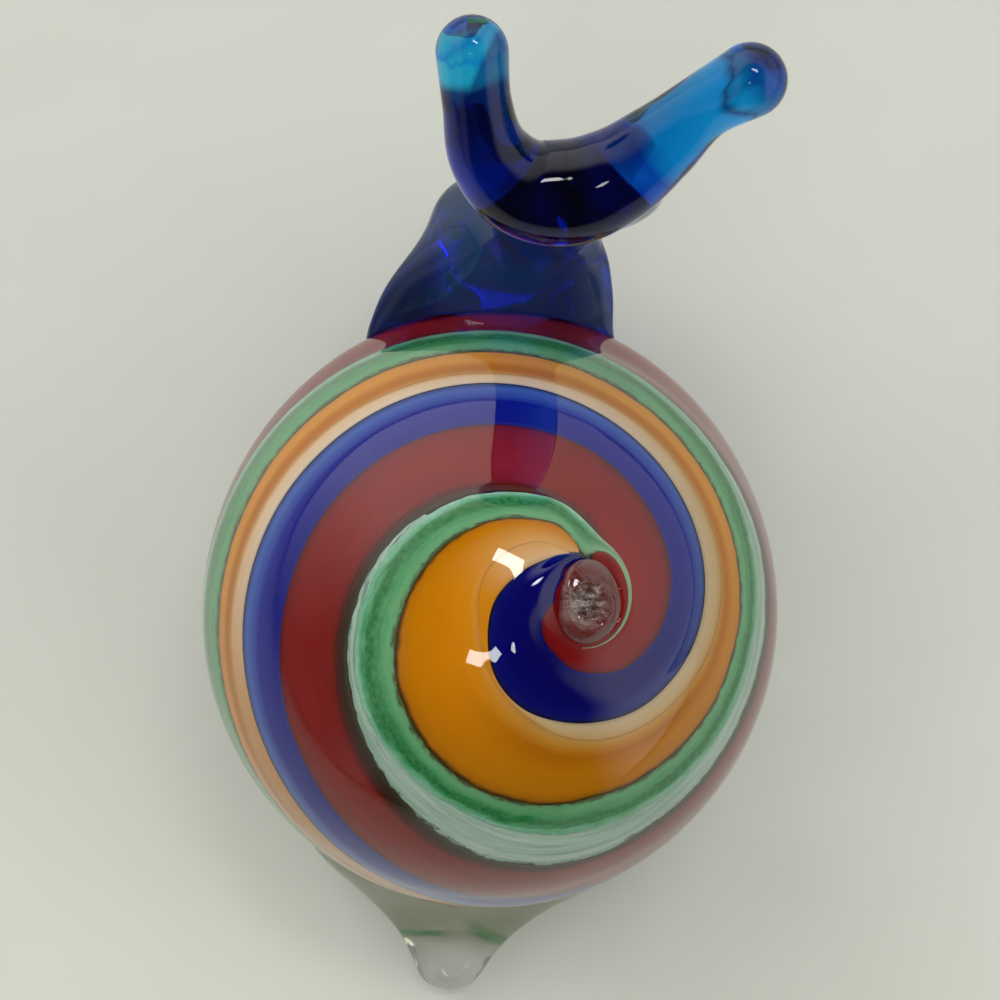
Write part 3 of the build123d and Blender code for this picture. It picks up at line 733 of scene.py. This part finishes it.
def foot():
    ys = np.concatenate([np.linspace(-28.5, 34.0, 100), np.linspace(34.6, 57.6, 44), 59.75 - 2.0 * np.linspace(1, 0.0, 12)[1:] ** 1.6])
    seg = 160
    x0, w0, h0 = (c(ys) for c in FOOT_COL)
    pts = []
    for y, x, w, h in zip(ys, x0, w0, h0):
        lift = float(smooth(40.0, 57.0, y))
        zc = (0.36 + 0.14 * lift) * h
        a = np.linspace(0, 2 * math.pi, seg, endpoint=False)
        px = x + w * np.cos(a)
        pz = zc + (h - zc) * np.sin(a)
        pz = np.maximum(pz, 0.0)
        py = np.full(seg, y)
        under = px ** 2 + py ** 2 < (SHELL_R + 0.05) ** 2
        seat = SHELL_Z - np.sqrt(np.maximum((SHELL_R + 0.12) ** 2 - px ** 2 - py ** 2, 0))
        pz = np.where(under, np.minimum(pz, seat), pz)
        # the front end lies against the back of the neck
        if y < -18.0:
            end = np.array([neck_back(u, v) + 0.05 for u, v in zip(px, pz)])
            py = end + (y + 28.5) * (-18.0 - end) / 10.5
        pts.append(np.stack([px, py, pz], -1))
    caps = []
    rim = pts[0]
    hub = np.array([rim[:, 0].mean(), 0.0, rim[:, 2].mean()])
    for f in (0.08, 0.25, 0.45, 0.65, 0.83):
        r = hub + f * (rim - hub)
        r[:, 1] = [neck_back(u, v) + 0.05 for u, v in zip(r[:, 0], r[:, 2])]
        caps.append(r)
    pts = caps + pts
    n = len(pts)
    pts = np.vstack(pts)
    faces = grid_faces(n, seg, 0, True, flip=True)
    faces.append(tuple(range(seg)))
    faces.append(tuple((n - 1) * seg + j for j in range(seg))[::-1])
    ob = new_mesh("foot_tail", pts, faces)
    ob.data.materials.append(foot_mat())
    mark(ob, "foot_tail")
    return ob


tail = foot()


# ---------------------------------------------------------------- cobalt glass
def head_mat():
    t = Tree("head_glass")
    t.set(Roughness=0.0, IOR=1.40, Transmission_Weight=1.0)
    t.bsdf.inputs["Specular IOR Level"].default_value = 0.2
    vec, along, spin_a, spin_b = t.flow()
    n = t.noise(t.stretch(vec, (5.0, 1.1, 1.1)), 1.0, 3.0, 0.5, 0.6)
    wob = t.math("ADD", along, t.math("MULTIPLY", t.math("SUBTRACT", n, 0.5), 0.12), clamp=True)
    pale, mid, deep, night = (0.45, 0.92, 1.0), (0.02, 0.22, 0.95), (0.010, 0.045, 0.50), (0.004, 0.010, 0.10)
    col = t.ramp(wob, [(0.0, pale), (0.055, pale), (0.066, (0.06, 0.42, 1.0)), (0.078, pale), (0.115, pale), (0.145, night), (0.24, deep), (0.30, deep), (0.36, night), (0.42, deep),
                       (0.50, night), (0.56, mid), (0.63, deep), (0.68, (0.12, 0.60, 1.0)), (0.90, (0.12, 0.60, 1.0)), (0.925, night), (0.955, (0.20, 0.75, 1.0)), (1.0, (0.10, 0.60, 1.0))])
    # thick, dark inner side of the left horn and outer side of the right tip
    xyz = t.add("ShaderNodeSeparateXYZ")
    t.link(t.object_vec(), xyz.inputs[0])
    px, py = xyz.outputs["X"], xyz.outputs["Y"]
    bound = t.math("ADD", 0.0014, t.math("MULTIPLY", t.math("ADD", py, 0.057), 0.48))
    inner = t.math("MULTIPLY", t.math("SUBTRACT", bound, px), 1400.0, clamp=True)
    inner = t.math("MULTIPLY", inner, t.ramp(along, [(0.24, (1, 1, 1)), (0.30, (0, 0, 0))]))
    col = t.mix(t.math("MULTIPLY", inner, 0.92), col, (0.006, 0.02, 0.16))
    outer = t.math("ADD", t.math("MULTIPLY", t.math("SUBTRACT", -0.0268, px), 0.6), t.math("MULTIPLY", t.math("SUBTRACT", -0.0568, py), 0.8))
    outer = t.math("MULTIPLY", t.math("MULTIPLY", outer, 1100.0, clamp=True), t.ramp(along, [(0.90, (0, 0, 0)), (0.93, (1, 1, 1))]))
    col = t.mix(t.math("MULTIPLY", outer, 0.9), col, (0.010, 0.05, 0.42))
    t.link(col, t.bsdf.inputs["Base Color"])
    slow = t.noise(t.object_vec(), 70.0, 2.0, 0.4, 0.3)
    t.bump(slow, 0.06, 0.002)
    v = t.add("ShaderNodeVolumeAbsorption")
    v.inputs["Color"].default_value = (0.0, 0.78, 0.93, 1.0)
    v.inputs["Density"].default_value = 420.0
    t.link(v.outputs[0], t.out.inputs["Volume"])
    return t.mat


def neck_mat():
    t = Tree("neck_glass")
    t.set(Roughness=0.0, IOR=1.45, Transmission_Weight=0.92)
    t.bsdf.inputs["Specular IOR Level"].default_value = 0.35
    vec = t.object_vec()
    n = t.noise(t.stretch(vec, (70.0, 30.0, 18.0), (1.3, 0, 0)), 1.0, 3.0, 0.5, 0.6)
    col = t.ramp(n, [(0.3, (0.05, 0.12, 0.50)), (0.7, (0.20, 0.42, 0.95))])
    side_x = t.add("ShaderNodeSeparateXYZ")
    t.link(vec, side_x.inputs[0])
    shade = t.ramp(t.math("MULTIPLY", side_x.outputs["X"], 50.0), [(0.18, (0, 0, 0)), (0.62, (0.6, 0.6, 0.6))], "EASE")
    col = t.mix(shade, col, (0.04, 0.07, 0.22))
    off = t.add("ShaderNodeVectorMath", operation="DISTANCE")
    t.link(vec, off.inputs[0])
    off.inputs[1].default_value = (-0.0030, -0.0515, 0.0535)
    glow = t.ramp(off.outputs["Value"], [(0.002, (1, 1, 1)), (0.0100, (0, 0, 0))], "EASE")
    col = t.mix(glow, col, (0.05, 0.55, 1.0))
    t.link(col, t.bsdf.inputs["Base Color"])
    slow = t.noise(vec, 60.0, 2.0, 0.4, 0.3)
    t.bump(slow, 0.06, 0.002)
    v = t.add("ShaderNodeVolumeAbsorption")
    v.inputs["Color"].default_value = (0.0, 0.60, 0.93, 1.0)
    v.inputs["Density"].default_value = 170.0
    t.link(v.outputs[0], t.out.inputs["Volume"])
    return t.mat


# ---------------------------------------------------------------- neck
def neck_ring(z, seg):
    yb, yf, w, xc, tp = (float(c(z)) for c in NECK_COL)
    t = np.linspace(0, 2 * math.pi, seg, endpoint=False)
    q = (1 - np.cos(t)) / 2
    half = w * ((1 - tp) + tp * (0.25 + 2.36 * np.maximum(q - 0.25, 0) ** 2)) * np.sqrt(np.maximum(1 - (1 - q) ** (3 + 7 * tp), 0)) * np.sqrt(np.maximum(1 - q ** 3, 0))
    y = yf + (yb - yf) * q
    x = xc - 0.10 * np.maximum(-y - 40, 0) * tp * 2 + np.where(t < math.pi, 1, -1) * half
    return np.stack([x, y, np.full(seg, z)], -1)


def neck():
    zs = np.concatenate([np.linspace(0, 6, 14), np.linspace(6.8, 46, 50), np.linspace(46.4, 66, 60), np.linspace(66.8, 100, 46), np.linspace(100.5, 109.4, 20)])
    seg = 160
    pts = []
    a = np.linspace(0, 2 * math.pi, seg, endpoint=False)
    for z in zs:
        r = neck_ring(z, seg)
        unit = np.stack([r[:, 0], -np.sqrt(np.maximum(SHELL_R ** 2 - r[:, 0] ** 2 - (z - SHELL_Z) ** 2, 1e-6)), r[:, 2] - SHELL_Z], -1)
        unit = unit / np.linalg.norm(unit, axis=1)[:, None]
        out = bulge(unit)
        r2 = (SHELL_R + 0.12) ** 2 - r[:, 0] ** 2 - (z - SHELL_Z) ** 2
        front = -np.sqrt(np.maximum(r2, 0)) + out[:, 1]
        r[:, 1] = np.where((r2 > 0) & (r[:, 1] > front), front, r[:, 1])
        pts.append(r)
    last = pts[-1]
    mid = last.mean(axis=0)
    x, y = mid[0], mid[1]
    # domed top, then everything is pressed under the head bar
    for k in np.linspace(0.92, 0.04, 12):
        cap = mid + (last - mid) * k
        cap[:, 2] = 109.4 + 2.5 * (1 - k * k)
        pts.append(cap)
    n = len(pts)
    pts = np.vstack(pts)
    high = np.where(pts[:, 2] > 98)[0]
    for i in high:
        p = pts[i].copy()
        for _ in range(200):
            dist = np.linalg.norm(BAR_P - p, axis=1) - BAR_R
            if dist.min() > 0.10:
                break
            p[2] -= 0.06
        pts[i] = p
    faces = grid_faces(n, seg, 0, True)
    faces.append(tuple(range(seg))[::-1])
    faces.append(tuple((n - 1) * seg + j for j in range(seg)))
    ob = new_mesh("neck", pts, faces)
    ob.data.materials.append(neck_mat())
    mark(ob, "neck")
    return ob


column = neck()


# ---------------------------------------------------------------- head bar with horns
def bar():
    seg = 72
    line, rad = BAR_P[::2], BAR_R[::2]
    tan = np.gradient(line, axis=0)
    tan /= np.linalg.norm(tan, axis=1)[:, None]
    rings = []
    up = np.array([0.0, 0.0, 1.0])
    side = np.cross(up, tan[0]); side /= np.linalg.norm(side)
    a = np.linspace(0, 2 * math.pi, seg, endpoint=False)

    def ring(at, t, r, side):
        other = np.cross(t, side)
        return at + r * (np.cos(a)[:, None] * side + np.sin(a)[:, None] * other)
    caps = np.radians([88, 78, 66, 54, 42, 30, 18, 8])
    for c in caps:
        rings.append(ring(line[0] - tan[0] * rad[0] * math.sin(c), tan[0], rad[0] * math.cos(c), side))
    for at, t, r in zip(line, tan, rad):
        side = side - t * side.dot(t)
        side /= np.linalg.norm(side)
        rings.append(ring(at, t, r, side))
    for c in caps[::-1]:
        rings.append(ring(line[-1] + tan[-1] * rad[-1] * math.sin(c), tan[-1], rad[-1] * math.cos(c), side))
    n = len(rings)
    faces = grid_faces(n, seg, 0, True)
    faces.append(tuple(range(seg))[::-1])
    faces.append(tuple((n - 1) * seg + j for j in range(seg)))
    ob = new_mesh("head_horns", np.vstack(rings), faces)
    along = np.repeat(np.linspace(0, 1, n)[:, None], seg, 1).ravel()
    spin = np.tile(np.stack([np.cos(a), np.sin(a)], -1), (n, 1))
    store(ob, "flow", np.stack([along, spin[:, 0], spin[:, 1]], -1))
    ob.data.materials.append(head_mat())
    mark(ob, "head_horns")
    return ob


head = bar()

# ---------------------------------------------------------------- hidden core keeps its CAD shape
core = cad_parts["shell_core"]
core_ob = core if isinstance(core, bpy.types.Object) else bpy.data.objects.get("shell_core")
if core_ob:
    t = cane_tree("core_glass")
    n = t.noise(t.object_vec(), 120.0, 3.0)
    t.link(t.ramp(n, [(0.3, srgb(120, 126, 122)), (0.7, srgb(150, 156, 150))]), t.bsdf.inputs["Base Color"])
    core_ob.data.materials.clear()
    core_ob.data.materials.append(t.mat)

# ---------------------------------------------------------------- floor
floor_me = bpy.data.meshes.new("floor")
s = 25.0
floor_me.from_pydata([(-s, -s, 0), (s, -s, 0), (s, s, 0), (-s, s, 0)], [], [(0, 1, 2, 3)])
floor = bpy.data.objects.new("floor", floor_me)
floor.location = (0, 0, -0.0002)
bpy.context.scene.collection.objects.link(floor)
t = Tree("pale_table")
t.set(Roughness=0.45)
t.bsdf.inputs["Specular IOR Level"].default_value = 0.3
vec = t.object_vec()
big = t.noise(vec, 9.0, 4.0, 0.6, 0.5)
col = t.ramp(big, [(0.3, srgb(184, 186, 176)), (0.7, srgb(196, 198, 189))])
xyz = t.add("ShaderNodeSeparateXYZ")
t.link(vec, xyz.inputs[0])
# painted shade: the table colour is darker towards -Y, standing in for uneven light on the floor
painted_shade_ramp = t.add("ShaderNodeMapRange", interpolation_type="SMOOTHSTEP")
painted_shade_ramp.inputs["From Min"].default_value = -0.03
painted_shade_ramp.inputs["From Max"].default_value = 0.07
t.link(xyz.outputs["Y"], painted_shade_ramp.inputs["Value"])
col = t.mix(painted_shade_ramp.outputs[0], t.mix(0.5, col, srgb(174, 176, 168)), col)
t.link(col, t.bsdf.inputs["Base Color"])
floor_me.materials.append(t.mat)

# ---------------------------------------------------------------- light
world = bpy.data.worlds.new("studio")
bpy.context.scene.world = world
world.use_nodes = True
wn = world.node_tree
wn.nodes.clear()


def wnode(kind, **props):
    n = wn.nodes.new(kind)
    for k, v in props.items():
        setattr(n, k, v)
    return n


def wmath(op, *args):
    n = wnode("ShaderNodeMath", operation=op)
    for i, v in enumerate(args):
        if isinstance(v, (int, float)):
            n.inputs[i].default_value = v
        else:
            wn.links.new(v, n.inputs[i])
    return n.outputs[0]


wo = wnode("ShaderNodeOutputWorld")
bg = wnode("ShaderNodeBackground")
tc = wnode("ShaderNodeTexCoord")
sx = wnode("ShaderNodeSeparateXYZ")
wn.links.new(tc.outputs["Generated"], sx.inputs[0])
wx, wy = sx.outputs["X"], sx.outputs["Y"]
# a dim patch overhead that reaches down on the tail side, soft bright walls all round it
near = wmath("SQRT", wmath("ADD", wmath("POWER", wmath("ABSOLUTE", wmath("ADD", wx, 0.02)), 2.0),
                           wmath("POWER", wmath("ABSOLUTE", wmath("MINIMUM", wy, 0.0)), 2.0)))
rp = wnode("ShaderNodeValToRGB")
wn.links.new(near, rp.inputs[0])
el = rp.color_ramp.elements
rp.color_ramp.interpolation = "EASE"
el[0].position, el[0].color = 0.50, (0.04, 0.04, 0.04, 1)
el[1].position, el[1].color = 0.74, (1.10, 1.10, 1.06, 1)


def toward(d, lo, hi):
    n = wnode("ShaderNodeVectorMath", operation="DOT_PRODUCT")
    v = Vector(d).normalized()
    wn.links.new(tc.outputs["Generated"], n.inputs[0])
    n.inputs[1].default_value = v
    m = wnode("ShaderNodeMapRange", interpolation_type="SMOOTHSTEP")
    m.inputs["From Min"].default_value = lo
    m.inputs["From Max"].default_value = hi
    wn.links.new(n.outputs["Value"], m.inputs["Value"])
    return m.outputs[0]


level = wmath("ADD", 1.0, wmath("MULTIPLY", toward((0.55, -0.8, 0.25), 0.45, 0.95), 0.55))
level = wmath("SUBTRACT", level, wmath("MULTIPLY", toward((1.0, 0.15, 0.1), 0.50, 0.92), 0.80))
wn.links.new(rp.outputs[0], bg.inputs[0])
wn.links.new(level, bg.inputs[1])
wn.links.new(bg.outputs[0], wo.inputs[0])


def lamp(name, direction, dist, size, power, colour=(1, 1, 1)):
    d = np.array(direction, float); d /= np.linalg.norm(d)
    at = Vector(d * dist) + Vector((0, 0, SHELL_Z * MM))
    li = bpy.data.lights.new(name, "AREA")
    li.shape = "RECTANGLE"
    li.size, li.size_y = size
    li.energy = power
    li.color = colour
    ob = bpy.data.objects.new(name, li)
    ob.location = at
    ob.rotation_euler = (Vector((0, 0, SHELL_Z * MM)) - at).to_track_quat("-Z", "Y").to_euler()
    bpy.context.scene.collection.objects.link(ob)
    return ob


panel = lamp("panel", (0.0, 0.0, 1.0), 1.55, (2.6, 2.6), 17.0, (1.0, 0.995, 0.98))
panel.visible_glossy = False
key = lamp("key", (0.55, -0.62, 0.75), 1.5, (1.3, 1.3), 8.5, (1.0, 0.995, 0.98))
key.visible_glossy = False
fill = lamp("fill", (0.05, 0.85, 0.62), 1.5, (1.3, 1.0), 5.0, (1.0, 0.995, 0.98))
fill.visible_glossy = False
lamp("lamp_a", (-0.155, -0.30, 0.94), 1.3, (0.38, 0.13), 2.7)
lamp("lamp_b", (0.10, 0.28, 0.955), 1.3, (0.12, 0.11), 0.55)

# ---------------------------------------------------------------- camera
cam = bpy.data.cameras.new("camera")
cam.sensor_width = 36.0
cam.lens = 36.0 * 2.1407
cam.clip_start = 0.01
cam_ob = bpy.data.objects.new("camera", cam)
fwd = Vector((-10 / 2140.7, -112 / 2140.7, -1.0)).normalized()
back = -fwd
up = Vector((0, -1, 0)); up = (up - back * up.dot(back)).normalized()
side = up.cross(back)
rot = Matrix((side, up, back)).transposed()
cam_ob.matrix_world = Matrix.Translation((0, 0, (SHELL_Z + CAM_D) * MM)) @ rot.to_4x4()
bpy.context.scene.collection.objects.link(cam_ob)
bpy.context.scene.camera = cam_ob
bpy.context.scene.view_settings.view_transform = "Standard"
